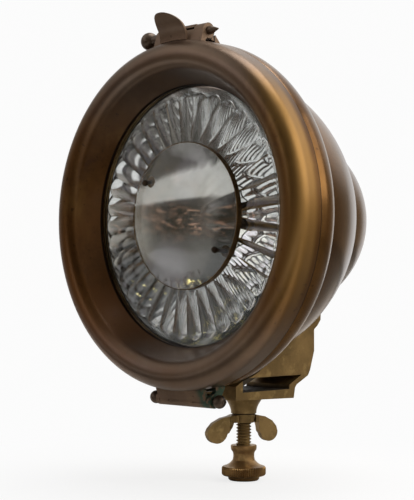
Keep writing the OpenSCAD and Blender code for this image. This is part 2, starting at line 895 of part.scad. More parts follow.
module saddle() {
    color("#6f5a34")
        at_lamp()
            difference() {
                translate([0, socket_back, 0])
                    across(saddle_w)
                        polygon(concat(saddle_low, saddle_tip, [[59.8, -40], [-16, -60]]));
                body_form(0.15);
                rivet_holes();
            }
}

module saddle_rivets() {
    color("#8a7040")
        at_lamp()
            rivet_places() {
                translate([0, 0, -$rivet_len])
                    cylinder(r = rivet_r, h = $rivet_len + sheet_t + 3.4);
                translate([0, 0, sheet_t + 2.6])
                    cylinder(r = rivet_r + 1.8, h = 1.8);
            }
}

module boss_form() {
    rotate_extrude()
        polygon(concat([[0, bracket_bottom + floor_slope], [boss_top_r, bracket_bottom + floor_slope]],
            [for (u = steps(0, 1, 8)) [boss_r + (boss_top_r - boss_r) * pow(1 - u, 2), bracket_bottom - boss_h * u]],
            [[0, boss_bottom]]));
}

module socket_bracket() {
    web = concat(
        [[bracket_front, bracket_bottom + floor_slope], [bracket_front, slot_bottom + 4.4],
            [bracket_front + 7.4, slot_top - 1.6], [bracket_front + 18, slot_top + 1.4],
            [bracket_front + 25.5, slot_top + 4.7]],
        [for (i = [1:len(saddle_low) - 1]) saddle_low[i] + [0, axis_h]],
        [[bracket_back + 23.8, slot_top + 17.5], [bracket_back + 21.4, slot_top + 10.5],
            [bracket_back + 19, slot_top + 3.4], [bracket_back + 16.5, slot_top - 0.8],
            [bracket_back + 3.4, slot_top - 7], [bracket_back + 1.5, slot_bottom + 0.5],
            [bracket_back, bracket_bottom]]);
    slot = [[slot_front, slot_bottom], [slot_back, slot_bottom], [slot_back + 0.5, slot_bottom + 3],
        [slot_back + 14.3, slot_top], [slot_front + 13.3, slot_top], [slot_front, slot_bottom + 4.4]];
    color("#86693c")
        difference() {
            union() {
                across(bracket_w)
                    difference() {
                        polygon(web);
                        polygon(slot);
                    }
                boss_form();
            }
            translate([0, 0, boss_bottom - over])
                cylinder(r = screw_r + run, h = floor_t + boss_h + 2 * over);
            translate([0, 0, slot_bottom - pad_t])
                cylinder(r = pad_r + 0.2, h = pad_t + over);
            at_lamp()
                rivet_holes();
        }
}

// Clamping parts: the pad rides on the screw's end, the nut locks the screw under the boss
module lock_washer() {
    color("#5b4630")
        difference() {
            translate([0, 0, washer_top - washer_t])
                cylinder(r = boss_r - 1, h = washer_t);
            translate([0, 0, washer_top - washer_t - over])
                cylinder(r = screw_r + 0.15, h = washer_t + 2 * over);
        }
}

// One wing in [distance from the screw, height], from inside the hub out and down to its round end
wing_root = (screw_r + nut_r - 1) / 2;

function wing_outline(reach, lobe) =
    let (tip_r = reach * lobe, tip = [reach - tip_r, nut_top - wing_drop + tip_r * 1.05])
    concat([[wing_root, nut_top - 0.2], [reach * 0.3, nut_top - 0.4], [reach * 0.62, nut_top - 2.2],
        [reach * 0.84, nut_top - 5.6], [reach * 0.96, nut_top - 9.6]],
        arc(tip, tip_r, 0, -170, 12),
        [[reach * 0.43, nut_top - wing_drop * 0.62], [collar_r + 1.7, nut_top - wing_drop * 0.42],
            [collar_r + 0.9, nut_bottom + 0.3], [wing_root, nut_bottom + 0.3]]);

// Seen from above a wing swells to the hub
function wing_plan(reach) =
    let (half = [[wing_root - 1, nut_r * 0.7], [reach * 0.3, nut_r * 0.6], [reach * 0.42, wing_t * 0.62],
        [reach * 0.55, wing_t / 2], [reach + 1, wing_t / 2]])
    concat(half, [for (p = reversed(half)) [p[0], -p[1]]]);

module wing_nut() {
    color("#7d6139")
        difference() {
            union() {
                translate([0, 0, nut_bottom])
                    cylinder(r1 = nut_r - 2, r2 = nut_r - 0.6, h = nut_h);
                for (wing = [[0, wing_reach - 3.6, 0.262], [180, wing_reach, 0.265]])
                    rotate([0, 0, wing_angle + wing[0]])
                        intersection() {
                            rotate([90, 0, 0])
                                linear_extrude(4 * nut_r, center = true)
                                    polygon(wing_outline(wing[1], wing[2]));
                            translate([0, 0, nut_top - 2 * wing_drop])
                                linear_extrude(3 * wing_drop)
                                    polygon(wing_plan(wing[1]));
                        }
            }
            translate([0, 0, nut_bottom - 30])
                cylinder(r = screw_r + run, h = 60);
        }
}

module clamp_pad() {
    color("#8a6c40")
        translate([0, 0, screw_top])
            cylinder(r = pad_r, h = pad_t);
}

module clamp_screw() {
    color("#6e5734")
        translate([0, 0, knob_top - 12])
            cylinder(r = screw_r, h = screw_top - knob_top + 12 - 0.02);
}

module clamp_knob() {
    h = knob_h;
    rim = 1.8;
    color("#7b6036")
        difference() {
            rotate_extrude()
                polygon(concat([[0, knob_top], [collar_r - 0.4, knob_top], [collar_r, knob_top - 0.4],
                    [collar_r - 0.2, knob_top - h * 0.13], [knob_neck_r + 0.3, knob_top - h * 0.2],
                    [knob_neck_r, knob_top - h * 0.32], [knob_neck_r + 0.5, knob_top - h * 0.43],
                    [knob_neck_r + 2.4, knob_top - h * 0.51], [knob_r - 4, knob_top - h * 0.565],
                    [knob_r - rim, knob_top - h * 0.6]],
                    arc([knob_r - rim, knob_top - h * 0.6 - rim], rim, 80, 0, 4),
                    arc([knob_r - rim, knob_top - h * 0.87 + rim], rim, 0, -70, 4),
                    [[knob_r - 4.6, knob_top - h * 0.9], [knob_r - 5, knob_bottom + 0.8],
                        [knob_r - 5.8, knob_bottom], [0, knob_bottom]]));
            translate([0, 0, knob_top - 12])
                cylinder(r = screw_r + 0.02, h = 12 + over);
        }
}

bezel();
glass_seal();
front_glass();
glass_retainer();
center_lens();
lens_rim();
lens_screws();
lens_nuts();
door_hinge_leaf();
door_latch_leaf();
thumb_tab();
front_band();
middle_shell();
rear_dome();
mouth_ring();
reflector();
reflector_screws();
reflector_neck();
bulb_glass();
bulb_stem();
bulb_cap();
bulb_holder();
holder_insulator();
holder_contacts();
holder_screw();
cable_ferrule();
body_hinge_leaf();
body_latch_leaf();
hinge_pin();
saddle();
saddle_rivets();
socket_bracket();
latch_pin();
lock_washer();
wing_nut();
clamp_pad();
clamp_screw();
clamp_knob();
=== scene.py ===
import bpy
import bmesh
from math import sin, cos, pi, radians, sqrt, atan2, asin
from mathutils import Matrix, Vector


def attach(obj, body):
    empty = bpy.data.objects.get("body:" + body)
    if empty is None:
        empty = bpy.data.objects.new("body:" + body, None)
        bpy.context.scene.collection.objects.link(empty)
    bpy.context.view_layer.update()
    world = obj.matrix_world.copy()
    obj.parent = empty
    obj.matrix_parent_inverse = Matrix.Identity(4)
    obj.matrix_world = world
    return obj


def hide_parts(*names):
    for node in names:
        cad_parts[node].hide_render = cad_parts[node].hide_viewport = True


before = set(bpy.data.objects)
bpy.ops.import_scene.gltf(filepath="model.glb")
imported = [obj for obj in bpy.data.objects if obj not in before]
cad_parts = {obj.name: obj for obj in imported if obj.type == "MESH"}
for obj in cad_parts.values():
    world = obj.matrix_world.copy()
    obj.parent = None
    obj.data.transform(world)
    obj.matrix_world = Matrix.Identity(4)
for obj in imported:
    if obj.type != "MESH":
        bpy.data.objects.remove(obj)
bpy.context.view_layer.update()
print("frame loaded")

mm = 0.001
lamp = {"lipY": -58.2, "axisZ": 121.0, "sheet": 1.4}
lampCentre = Vector((0, lamp["lipY"] * mm, lamp["axisZ"] * mm))


class Wire:
    def __init__(self, net, socket):
        self.net, self.socket = net, socket

    def maths(self, how, other, flip=False):
        first, second = (other, self) if flip else (self, other)
        return self.net.add("ShaderNodeMath", {"operation": how}, {0: first, 1: second})

    def __add__(self, other):
        return self.maths("ADD", other)

    def __radd__(self, other):
        return self.maths("ADD", other)

    def __sub__(self, other):
        return self.maths("SUBTRACT", other)

    def __rsub__(self, other):
        return self.maths("SUBTRACT", other, True)

    def __mul__(self, other):
        return self.maths("MULTIPLY", other)

    def __rmul__(self, other):
        return self.maths("MULTIPLY", other)

    def ramp(self, low, high):
        return self.net.add("ShaderNodeMapRange", {"interpolation_type": "SMOOTHSTEP"},
                            {"Value": self, "From Min": low, "From Max": high})


class Net:
    def __init__(self, tree):
        self.tree = tree
        tree.nodes.clear()

    def add(self, kind, settings=None, inputs=None, out=0):
        node = self.tree.nodes.new(kind)
        for key, value in (settings or {}).items():
            setattr(node, key, value)
        for key, value in (inputs or {}).items():
            self.feed(node.inputs[key], value)
        return Wire(self, node.outputs[out])

    def feed(self, socket, value):
        if isinstance(value, Wire):
            self.tree.links.new(value.socket, socket)
        elif isinstance(value, (tuple, list)) and len(value) == 3 and socket.type == "RGBA":
            socket.default_value = (*value, 1)
        else:
            socket.default_value = value

    def show(self, kind, surface):
        self.tree.links.new(surface.socket, self.tree.nodes.new(kind).inputs["Surface"])

    def place(self):
        return self.add("ShaderNodeTexCoord", out="Object")

    def noise(self, scale, detail=3, rough=0.55, where=None, stretch=None, warp=0):
        where = where or self.place()
        if stretch:
            where = self.add("ShaderNodeMapping", {}, {"Vector": where, "Scale": stretch})
        return self.add("ShaderNodeTexNoise", {}, {"Vector": where, "Scale": scale, "Detail": detail,
                                                   "Roughness": rough, "Distortion": warp})

    def mix(self, amount, first, second):
        return self.add("ShaderNodeMix", {"data_type": "RGBA"}, {0: amount, 6: first, 7: second}, 2)

    def bump(self, height, depth, strength):
        return self.add("ShaderNodeBump", {}, {"Strength": strength, "Distance": depth, "Height": height})

    def mirrored(self):
        # the rays by which metal and glass show what is round them
        return (self.add("ShaderNodeLightPath", out="Is Glossy Ray")
                + self.add("ShaderNodeLightPath", out="Is Transmission Ray"))

    def axes(self, where=None):
        where = where or self.place()
        return [self.add("ShaderNodeSeparateXYZ", {}, {0: where}, i) for i in range(3)]


def newFinish(name, build):
    material = bpy.data.materials.new(name)
    material.use_nodes = True
    net = Net(material.node_tree)
    made = build(net)
    if isinstance(made, dict):
        made = net.add("ShaderNodeBsdfPrincipled", {}, made)
    net.show("ShaderNodeOutputMaterial", made)
    return material


def scaled(colour, *amounts):
    # a colour times one amount, or times an amount for each channel
    return tuple(c * a for c, a in zip(colour, amounts * 3 if len(amounts) == 1 else amounts))


seamsAt = [(lamp["lipY"] + y) * mm for y in (-0.2, 21.0, 82.2)]
# where each mark on the brass begins and ends, in metres in the part's frame: the painted highlight, painted sheen,
# painted reflected light and painted slot shade, and the real crust. seamWidth, offAxis, high and wide are squared,
# because they are compared with a square
seamWidth = 1.3e-6
# painted highlight: the gold on the bezel's right flank
flankHighlightAt = {"right": (0.06, 0.105), "up": (0.03, 0.1), "front": (-0.0823, -0.0785), "back": (-0.0665, -0.0605)}
# painted sheen: a grey highlight painted above and below the axis
sheenAt = {"offAxis": (0.002, 0.0095), "colour": (0.185, 0.142, 0.112)}
# painted reflected light: lighter orange at the bezel's lower left, where the floor is reflected
orangeAt = {"left": (-0.06, 0.04), "down": (0.07, 0.17)}
crustAt = {"right": (0.014, 0.022), "down": (0.02, 0.05), "colour": (0.06, 0.12, 0.085)}
# painted shade inside the bracket's slot
slotAt = {"high": (2.46e-5, 2.7e-5), "wide": (4.7e-4, 5.2e-4), "front": (-0.0248, -0.0238), "back": (0.026, 0.027),
          "colour": (0.012, 0.009, 0.006)}


def patina(dark, mid, gold, rough, metal, speck, lacquer, green=0.0, paintedLight=0.0):
    # brown film over brass with gold streaks, dark seams and the shine of old lacquer, and on the bezel a painted
    # highlight, a painted sheen and painted reflected light
    def build(net):
        x, y, z = net.axes()
        cloud = net.noise(14, 4, 0.6)
        streak = net.noise(30, 4, 0.6, stretch=(1, 1, 0.35))
        grain = net.noise(420, 3, 0.6)
        fine = net.noise(1900, 2, 0.5)
        spots = net.noise(260, 2, 0.45)
        base = net.mix(cloud.ramp(0.35, 0.68), dark, mid)
        base = net.mix(streak.ramp(0.5, 0.8) * 0.5, base, gold)
        base = net.mix(spots.ramp(0.66, 0.74) * speck, base, scaled(dark, 0.35))
        base = net.mix(grain.ramp(0.3, 0.75) * 0.15, base, scaled(mid, 1.4))
        stains = net.noise(70, 4, 0.7, warp=0.6)
        base = net.mix(stains.ramp(0.62, 0.7) * 0.45, base, scaled(dark, 0.8, 0.7, 1.6))
        if paintedLight:
            # painted light: a gold highlight painted on the right flank, a grey sheen painted above and below the
            # axis, and lighter orange painted at the lower left for the floor's reflection
            goldHighlight = x.ramp(*flankHighlightAt["right"]) * z.ramp(*flankHighlightAt["up"]) * y.ramp(*flankHighlightAt["front"])
            goldHighlight = goldHighlight * (1 - y.ramp(*flankHighlightAt["back"]))
            goldHighlight = goldHighlight * (0.6 + cloud * 0.7)
            base = net.mix(goldHighlight * paintedLight, base, scaled(gold, 0.9))
            high = z - lamp["axisZ"] * mm
            # painted sheen, greyer towards the top and bottom of the bezel
            paintedSheen = (high * high).ramp(*sheenAt["offAxis"]) * (1 - goldHighlight) * (0.4 + streak * 0.6)
            base = net.mix(paintedSheen * 0.8, base, sheenAt["colour"])
            # painted reflected light, lighter orange at the lower left
            lower = (1 - x.ramp(*orangeAt["left"])) * (1 - z.ramp(*orangeAt["down"])) * cloud.ramp(0.3, 0.6)
            base = net.mix(lower * 0.6, base, scaled(dark, 1.7, 1.45, 1.1))
        for seam in seamsAt:
            off = y - seam
            base = net.mix((1 - (off * off).ramp(0.0, seamWidth)) * 0.95, base, scaled(dark, 0.15))
        roughness = rough + (cloud - 0.5) * 0.14 + (grain - 0.5) * 0.08
        if green:
            crust = net.noise(160, 4, 0.7).ramp(0.4, 0.55) * x.ramp(*crustAt["right"])
            crust = crust * (1 - z.ramp(*crustAt["down"])) * green
            base = net.mix(crust, base, crustAt["colour"])
            roughness = roughness + crust * 0.4
        height = grain * 0.6 + fine * 0.4
        return {"Base Color": base, "Metallic": metal, "Roughness": roughness,
                "Coat Weight": lacquer * (0.6 + cloud * 0.8), "Coat Roughness": 0.22,
                "Normal": net.bump(height, 0.0001, 0.25)}
    return build


def castMetal(dark, mid, light, rough, slotShade=0.0):
    # cast and filed brass gone olive, with fine pits
    def build(net):
        x, y, z = net.axes()
        cloud = net.noise(35, 4, 0.6)
        pits = net.noise(700, 3, 0.6)
        grain = net.noise(1600, 2, 0.5)
        base = net.mix(cloud.ramp(0.3, 0.7), dark, mid)
        base = net.mix(net.noise(110, 3, 0.6).ramp(0.5, 0.75) * 0.6, base, light)
        base = net.mix(pits.ramp(0.62, 0.72) * 0.5, base, scaled(dark, 0.4))
        # painted shade: the inside of the bracket's slot darkened, where no light reaches
        inSlot = (1 - (z * z).ramp(*slotAt["high"])) * (1 - (x * x).ramp(*slotAt["wide"])) * slotShade
        inSlot = inSlot * y.ramp(*slotAt["front"]) * (1 - y.ramp(*slotAt["back"]))
        base = net.mix(inSlot, base, slotAt["colour"])
        roughness = rough + (pits - 0.5) * 0.2 + inSlot * 0.3
        return {"Base Color": base, "Metallic": 0.8 - inSlot * 0.5, "Roughness": roughness,
                "Normal": net.bump(pits * 0.7 + grain * 0.3, 0.00025, 0.4)}
    return build


def silvering(net):
    # old mirror: fine mottling, brown stains, duller towards the rim
    x, z = net.axes()[::2]
    z = z - lamp["axisZ"] * mm
    dull = (x * x + z * z).ramp(0.0021, 0.0038)  # from 46 to 62 mm off the axis
    stain = net.noise(60, 5, 0.65)
    blotch = net.noise(24, 3, 0.5)
    fine = net.noise(900, 2, 0.5)
    base = net.mix(stain.ramp(0.5, 0.72) * 0.45, (0.87, 0.88, 0.88), (0.5, 0.42, 0.33))
    base = net.mix(blotch.ramp(0.55, 0.7) * 0.3, base, (0.72, 0.7, 0.66))
    return {"Base Color": base, "Metallic": 1.0, "Roughness": 0.025 + dull * 0.09 + stain.ramp(0.5, 0.8) * 0.08,
            "Normal": net.bump(fine, 0.00001, 0.1)}


glassLook = {"bend": 1.46, "dust": (0.3, 0.28, 0.24)}


def glassFinish(tint, haze=0.0):
    # clear glass under a thin uneven film of dust
    def build(net):
        clear = net.add("ShaderNodeBsdfPrincipled", {}, {"Base Color": tint, "Roughness": 0.0,
                                                         "Transmission Weight": 1.0, "IOR": glassLook["bend"]})
        film = net.add("ShaderNodeBsdfDiffuse", {}, {"Color": glassLook["dust"]})
        smear = net.noise(35, 5, 0.65)
        grit = net.noise(1400, 2, 0.5)
        share = (0.55 + smear.ramp(0.35, 0.75) * 0.6 + grit.ramp(0.6, 0.75) * 0.9) * haze
        return net.add("ShaderNodeMixShader", {}, {0: share, 1: clear, 2: film})
    return build


def plainFinish(colour, rough):
    def build(net):
        cloud = net.noise(60, 3, 0.6)
        fine = net.noise(1200, 2, 0.5)
        base = net.mix(cloud.ramp(0.3, 0.7), colour, scaled(colour, 0.72))
        return {"Base Color": base, "Roughness": rough + (fine - 0.5) * 0.1,
                "Normal": net.bump(fine, 0.0001, 0.3)}
    return build


# dark, middle and light tone of each brass
tones = {
    "shell": ((0.08, 0.035, 0.008), (0.15, 0.069, 0.016), (0.32, 0.17, 0.045)),
    "bezel": ((0.066, 0.027, 0.006), (0.128, 0.057, 0.013), (0.32, 0.175, 0.05)),
    "rim": ((0.1, 0.055, 0.018), (0.17, 0.1, 0.035), (0.26, 0.16, 0.06)),
    "hinge": ((0.12, 0.074, 0.045), (0.21, 0.135, 0.086), (0.36, 0.24, 0.13)),
    "pin": ((0.06, 0.043, 0.032), (0.13, 0.088, 0.06), (0.27, 0.18, 0.1)),
    "screw": ((0.02, 0.013, 0.008), (0.05, 0.032, 0.02), (0.1, 0.065, 0.035)),
    "cast": ((0.165, 0.108, 0.042), (0.3, 0.196, 0.078), (0.48, 0.34, 0.14)),
    "knob": ((0.2, 0.115, 0.045), (0.38, 0.23, 0.09), (0.58, 0.39, 0.16)),
    "washer": ((0.02, 0.014, 0.008), (0.04, 0.027, 0.013), (0.07, 0.05, 0.025)),
    "inner": ((0.2, 0.12, 0.04), (0.3, 0.19, 0.07), (0.4, 0.27, 0.12)),
}
finishes = {
    "shellBrass": newFinish("shell_brass", patina(*tones["shell"], rough=0.22, metal=0.93, speck=0.6, lacquer=0.15)),
    "bezelBrass": newFinish("bezel_brass", patina(*tones["bezel"], rough=0.4, metal=0.93, speck=0.6, lacquer=0.15,
                                                  paintedLight=0.9)),
    "rimBrass": newFinish("rim_brass", castMetal(*tones["rim"], rough=0.4)),
    "hingeBrass": newFinish("hinge_brass", patina(*tones["hinge"], rough=0.5, metal=0.7, speck=0.6, lacquer=0.1,
                                                  green=0.9)),
    "pinBrass": newFinish("pin_brass", patina(*tones["pin"], rough=0.42, metal=0.75, speck=0.4, lacquer=0.1)),
    "screwBrass": newFinish("screw_brass", castMetal(*tones["screw"], rough=0.4)),
    "castBrass": newFinish("cast_brass", castMetal(*tones["cast"], rough=0.42)),
    "slotBrass": newFinish("slot_brass", castMetal(*tones["cast"], rough=0.42, slotShade=0.92)),
    "knobBrass": newFinish("knob_brass", castMetal(*tones["knob"], rough=0.4)),
    "washerBrass": newFinish("washer_brass", castMetal(*tones["washer"], rough=0.55)),
    "innerBrass": newFinish("inner_brass", castMetal(*tones["inner"], rough=0.35)),
    "silvering": newFinish("old_silvering", silvering),
    "frontGlass": newFinish("front_glass", glassFinish((0.96, 0.97, 0.96), haze=0.05)),
    "lensGlass": newFinish("lens_glass", glassFinish((0.95, 0.94, 0.92), haze=0.06)),
    "bulbGlass": newFinish("bulb_glass", glassFinish((0.96, 0.97, 0.97))),
    "rubber": newFinish("seal_rubber", plainFinish((0.02, 0.02, 0.02), rough=0.7)),
    "vulcanite": newFinish("brown_vulcanite", plainFinish((0.06, 0.035, 0.02), rough=0.4)),
}
print("finishes made:", len(finishes))


def steps(a, b, n):
    return [a + (b - a) * i / n for i in range(n + 1)]


def arc(centre, r, a, b, n):
    return [(centre[0] + r * cos(radians(t)), centre[1] + r * sin(radians(t))) for t in steps(a, b, n)]


def onLamp(r, y, turn=0.0):
    # a point at a radius, a distance behind the lip plane and a turn from +X towards +Z, in metres
    return lampCentre + Vector((r * cos(turn), y, r * sin(turn))) * mm


def settle(bm, sharp=34):
    bmesh.ops.remove_doubles(bm, verts=bm.verts, dist=2e-6)
    bmesh.ops.recalc_face_normals(bm, faces=bm.faces)
    softShade(bm, sharp)


def softShade(bm, sharp):
    for face in bm.faces:
        face.smooth = True
    for edge in bm.edges:
        edge.smooth = not (edge.is_manifold and edge.calc_face_angle(0) > radians(sharp))


def finished(bm, name, finish, body, nodes):
    mesh = bpy.data.meshes.new(name)
    bm.to_mesh(mesh)
    bm.free()
    piece = bpy.data.objects.new(name, mesh)
    bpy.context.scene.collection.objects.link(piece)
    mesh.materials.append(finishes[finish])
    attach(piece, body)
    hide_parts(*nodes)


def spunShell(profile, around, closed=True):
    # a profile of (radius, distance) points turned round the lamp's axis
    bm = bmesh.new()
    points = [bm.verts.new(onLamp(r, y)) for r, y in profile]
    pairs = zip(points, points[1:] + points[:1]) if closed else zip(points, points[1:])
    edges = [bm.edges.new(pair) for pair in pairs]
    bmesh.ops.spin(bm, geom=points + edges, cent=lampCentre, axis=(0, 1, 0), dvec=(0, 0, 0),
                   angle=2 * pi, steps=around, use_merge=True)
    return bm


bezel = {"r": 123.3, "rollR": 11.1, "rollFront": 23.2, "lipR": 93.0, "seam": 0.5, "rollEnd": 152.0, "hollow": 0.4}


def bezelPath(depth):
    # side, roll, and the nearly straight cove that runs down to the lip of the glass
    rollAt = (bezel["r"] - bezel["rollR"], bezel["rollR"] - bezel["rollFront"])
    side = [(bezel["r"] - depth, y) for y in steps(-bezel["seam"], rollAt[1] + 1.2, 5)]
    roll = arc(rollAt, bezel["rollR"] - depth, 0, -bezel["rollEnd"], 36)
    out = Vector((-cos(radians(bezel["rollEnd"])), sin(radians(bezel["rollEnd"]))))
    start = Vector(rollAt) - out * bezel["rollR"]
    cove = [start.lerp(Vector((bezel["lipR"], 0)), u) + out * (depth + bezel["hollow"] * 4 * u * (1 - u))
            for u in steps(0, 1, 12)[1:]]
    return side + roll + [tuple(point) for point in cove[:-1]] + [(bezel["lipR"], depth)]


bm = spunShell(bezelPath(0) + bezelPath(lamp["sheet"])[::-1], 288)
settle(bm)
finished(bm, "bezel_spun", "bezelBrass", "door", ["bezel"])
print("bezel made")


body = {"mouthR": 122.3, "bandLen": 21.0, "bandEndR": 116.6, "bandBulge": 3.2,
        "middleR": 108.0, "middleLen": 61.2, "middleEndR": 87.0, "middleBulge": 5.6,
        "domeR": 72.4, "domeLen": 82.0, "sleeve": 5.0, "turnIn": 0.5, "ferruleR": 7.0}
domeY = body["bandLen"] + body["middleLen"]


def bandR(y):
    u = y / body["bandLen"]
    return body["mouthR"] + (body["bandEndR"] - body["mouthR"]) * u + 4 * body["bandBulge"] * u * (1 - u)


def middleR(y):
    u = (y - body["bandLen"]) / body["middleLen"]
    return body["middleR"] + (body["middleEndR"] - body["middleR"]) * u + 4 * body["middleBulge"] * u * (1 - u)


def turnedEnd(wall, endR, y):
    # the sheet's end rolls in towards the next shell
    return [(wall - 0.15, y + 0.25), (wall - 0.6, y + body["turnIn"]), (endR + 0.05, y + body["turnIn"]),
            (endR + 0.05, y - 0.9)]


t = lamp["sheet"]
bandYs = steps(0, body["bandLen"] - 0.1, 16)
bm = spunShell([(bandR(y), y) for y in bandYs] + turnedEnd(body["bandEndR"], body["middleR"], body["bandLen"])
               + [(bandR(y) - t, y) for y in steps(body["bandLen"] - 0.9, 0, 10)], 288)
settle(bm)
finished(bm, "front_band_spun", "shellBrass", "lamp_body", ["front_band"])

middleYs = steps(body["bandLen"], domeY - 0.1, 26)
bm = spunShell([(body["middleR"], body["bandLen"] - body["sleeve"])] + [(middleR(y), y) for y in middleYs]
               + turnedEnd(body["middleEndR"], body["domeR"], domeY)
               + [(middleR(y) - t, y) for y in steps(domeY - 0.9, body["bandLen"], 18)]
               + [(body["middleR"] - t, body["bandLen"] - body["sleeve"])], 288)
settle(bm)
finished(bm, "middle_shell_spun", "shellBrass", "lamp_body", ["middle_shell"])

holeR = body["ferruleR"] + 0.05
domeTurns = steps(0, asin(sqrt(1 - (holeR / body["domeR"]) ** 2)), 40)
outerDome = [(body["domeR"] * cos(a), domeY + body["domeLen"] * sin(a)) for a in domeTurns]
innerDome = [(max(holeR, (body["domeR"] - t) * cos(a)), domeY + (body["domeLen"] - t) * sin(a))
             for a in reversed(domeTurns)]
bm = spunShell([(body["domeR"], domeY - body["sleeve"])] + outerDome + innerDome
               + [(body["domeR"] - t, domeY - body["sleeve"])], 240)
settle(bm)
finished(bm, "rear_dome_spun", "shellBrass", "lamp_body", ["rear_dome"])
print("body shells made")


bowl = {"y": 6.22, "depth": 62.0, "r": 92.0, "holeR": 11.26, "rimR": 112.0, "sheet": 1.6}


def bowlAt(r):
    return bowl["y"] + bowl["depth"] * (1 - (r / bowl["r"]) ** 2)


bowlRs = steps(bowl["holeR"], bowl["r"], 60)
bowlRim = [(bowl["rimR"], bowl["y"]), (bowl["rimR"], bowl["y"] + bowl["sheet"])]
bm = spunShell([(r, bowlAt(r)) for r in bowlRs] + bowlRim
               + [(r, bowlAt(r) + bowl["sheet"]) for r in reversed(bowlRs)], 240)
settle(bm, 20)
finished(bm, "reflector_bowl", "silvering", "lamp_body", ["reflector"])
print("reflector made")


glass = {"r": 98.1, "front": 2.22, "back": 4.72, "ribs": 36, "rise": 2.4, "inR": 46.0, "endR": 88.5,
         "scallop": 4.0, "round": 5.0, "turn": 78.0, "across": 16, "straightRows": 16, "roundRows": 8}


def ribPoint(u, row):
    # one rib: u runs from valley to valley, row from under the lens to the round end
    off = 4 * (u - 0.5) ** 2
    t = min(1.0, row / glass["straightRows"])
    q = sin(max(0.0, (row - glass["straightRows"]) / glass["roundRows"]) * pi / 2)
    straight = glass["endR"] - glass["scallop"] * off - glass["round"]
    r = glass["inR"] + (straight - glass["inR"]) * t + glass["round"] * q
    valley = ((r - glass["inR"]) / (glass["endR"] - glass["inR"])) ** 0.7
    y = glass["front"] - glass["rise"] * (1 - valley * off) * sqrt(max(0.0, 1 - q * q))
    return r, y


def glassPoint(u, row):
    ribRows = glass["straightRows"] + glass["roundRows"]
    plain = {-1: (0, glass["front"] - glass["rise"]), ribRows + 1: (glass["r"], glass["front"]),
             ribRows + 2: (glass["r"], glass["back"]), ribRows + 3: (0, glass["back"])}
    r, y = plain[row] if row in plain else ribPoint(u, row)
    return onLamp(r, y, radians(glass["turn"] - 360 / glass["ribs"] * u))


bm = bmesh.new()
glassRows = glass["straightRows"] + glass["roundRows"] + 4
bmesh.ops.create_grid(bm, x_segments=glass["across"], y_segments=glassRows, size=0.5)
for vert in bm.verts:
    vert.co = glassPoint(vert.co.x + 0.5, round((vert.co.y + 0.5) * glassRows) - 1)
bmesh.ops.spin(bm, geom=bm.verts[:] + bm.edges[:] + bm.faces[:], cent=lampCentre, axis=(0, 1, 0), dvec=(0, 0, 0),
               angle=2 * pi * (glass["ribs"] - 1) / glass["ribs"], steps=glass["ribs"] - 1, use_duplicate=True)
bmesh.ops.remove_doubles(bm, verts=bm.verts, dist=4e-6)
settle(bm, 20)
finished(bm, "front_glass_ribbed", "frontGlass", "door", ["front_glass"])

lens = {"r": 52.0, "back": -0.23, "face": -4.48, "crown": 9.5}
ballR = (lens["r"] ** 2 + lens["crown"] ** 2) / (2 * lens["crown"])
half = asin(lens["r"] / ballR)
dome = [(ballR * sin(a), lens["face"] - lens["crown"] + ballR * (1 - cos(a))) for a in steps(half, 0, 32)]
bm = spunShell([(0, lens["back"]), (lens["r"], lens["back"])] + dome[:-1] + [(0, dome[-1][1])], 192, closed=False)
settle(bm)
finished(bm, "center_lens_ground", "lensGlass", "door", ["center_lens"])

rim = {"r": 52.04, "wide": 0.55, "low": -0.2, "high": -4.6}
rimOuter = rim["r"] + rim["wide"]
rimSection = [(rim["r"], rim["low"]), (rimOuter, rim["low"]), (rimOuter, rim["high"] + 0.3),
              (rim["r"] + rim["wide"] * 0.6, rim["high"]), (rim["r"], rim["high"])]
bm = spunShell(rimSection, 192)
settle(bm)
finished(bm, "lens_rim_thin", "rimBrass", "door", ["lens_rim"])
print("glass made")


screw = {"r": 5.6, "root": 4.55, "pitch": 2.3, "bottom": -57.84, "top": -7.92, "around": 48}


def threadedRod():
    # one tooth swept up in a helix and cut off flat at both ends
    bm = bmesh.new()
    turns = int((screw["top"] - screw["bottom"]) / screw["pitch"]) + 3
    start = screw["bottom"] - screw["pitch"] * 1.5
    tooth = [(screw["root"], 0.0), (screw["root"], 0.14), (screw["r"], 0.42), (screw["r"], 0.58),
             (screw["root"], 0.86)]
    points = [bm.verts.new(Vector((r, 0, start + (turn + u) * screw["pitch"])) * mm)
              for turn in range(turns) for r, u in tooth]
    edges = [bm.edges.new(pair) for pair in zip(points, points[1:])]
    bmesh.ops.spin(bm, geom=points + edges, cent=(0, 0, 0), axis=(0, 0, 1),
                   dvec=(0, 0, screw["pitch"] * mm / screw["around"]), angle=2 * pi, steps=screw["around"])
    bmesh.ops.remove_doubles(bm, verts=bm.verts, dist=1e-5)
    for height, up in ((screw["bottom"], -1), (screw["top"], 1)):
        cut = bmesh.ops.bisect_plane(bm, geom=bm.verts[:] + bm.edges[:] + bm.faces[:], dist=1e-7,
                                     plane_co=(0, 0, height * mm), plane_no=(0, 0, up), clear_outer=True)
        rim = [e for e in cut["geom_cut"] if isinstance(e, bmesh.types.BMEdge)]
        bmesh.ops.holes_fill(bm, edges=rim)
    return bm


bm = threadedRod()
settle(bm, 24)
finished(bm, "clamp_screw_thread", "castBrass", "clamp_screw", ["clamp_screw"])

knob = {"top": -45.84, "h": 25.8, "r": 16.3, "neckR": 7.8, "collarR": 9.6, "rim": 1.8, "ridges": 72, "cut": 0.8}


